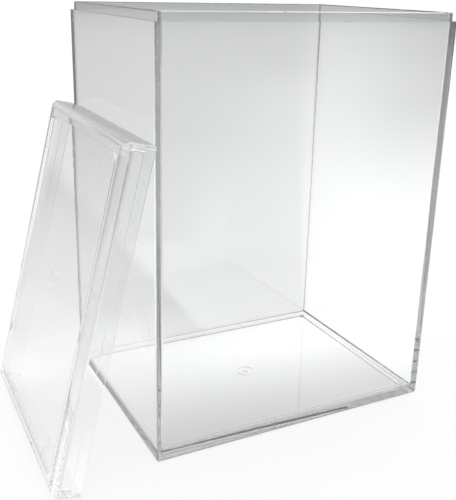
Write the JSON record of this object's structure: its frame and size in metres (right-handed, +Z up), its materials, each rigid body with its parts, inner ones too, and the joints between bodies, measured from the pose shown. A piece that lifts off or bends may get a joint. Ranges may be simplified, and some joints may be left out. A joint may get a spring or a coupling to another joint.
{
  "type": "figure display case",
  "caption": "Clear moulded display case for a figure: a deep open-topped box with a stepped rim, and its shallow lid leaning beside it.",
  "frame": {"origin": "centre of the case's foot, on the surface that the case stands on", "axes": "+Z up out of the case's mouth, +X along the case's wide side away from the leaning lid, +Y towards the back wall"},
  "size_m": [0.1953, 0.1182, 0.1939],
  "materials": {
    "case_clear": "clear crystal polystyrene, polished mould finish",
    "lid_clear": "clear crystal polystyrene, polished mould finish"
  },
  "bodies": {
    "case": {"case_body": "case_clear"},
    "lid": {"lid": "lid_clear"}
  },
  "joints": [
    {"name": "lid_lift", "type": "slide", "parent": "case", "child": "lid", "axis": [-0.0087, 0, 1], "range_m": [0, 0.2]}
  ]
}
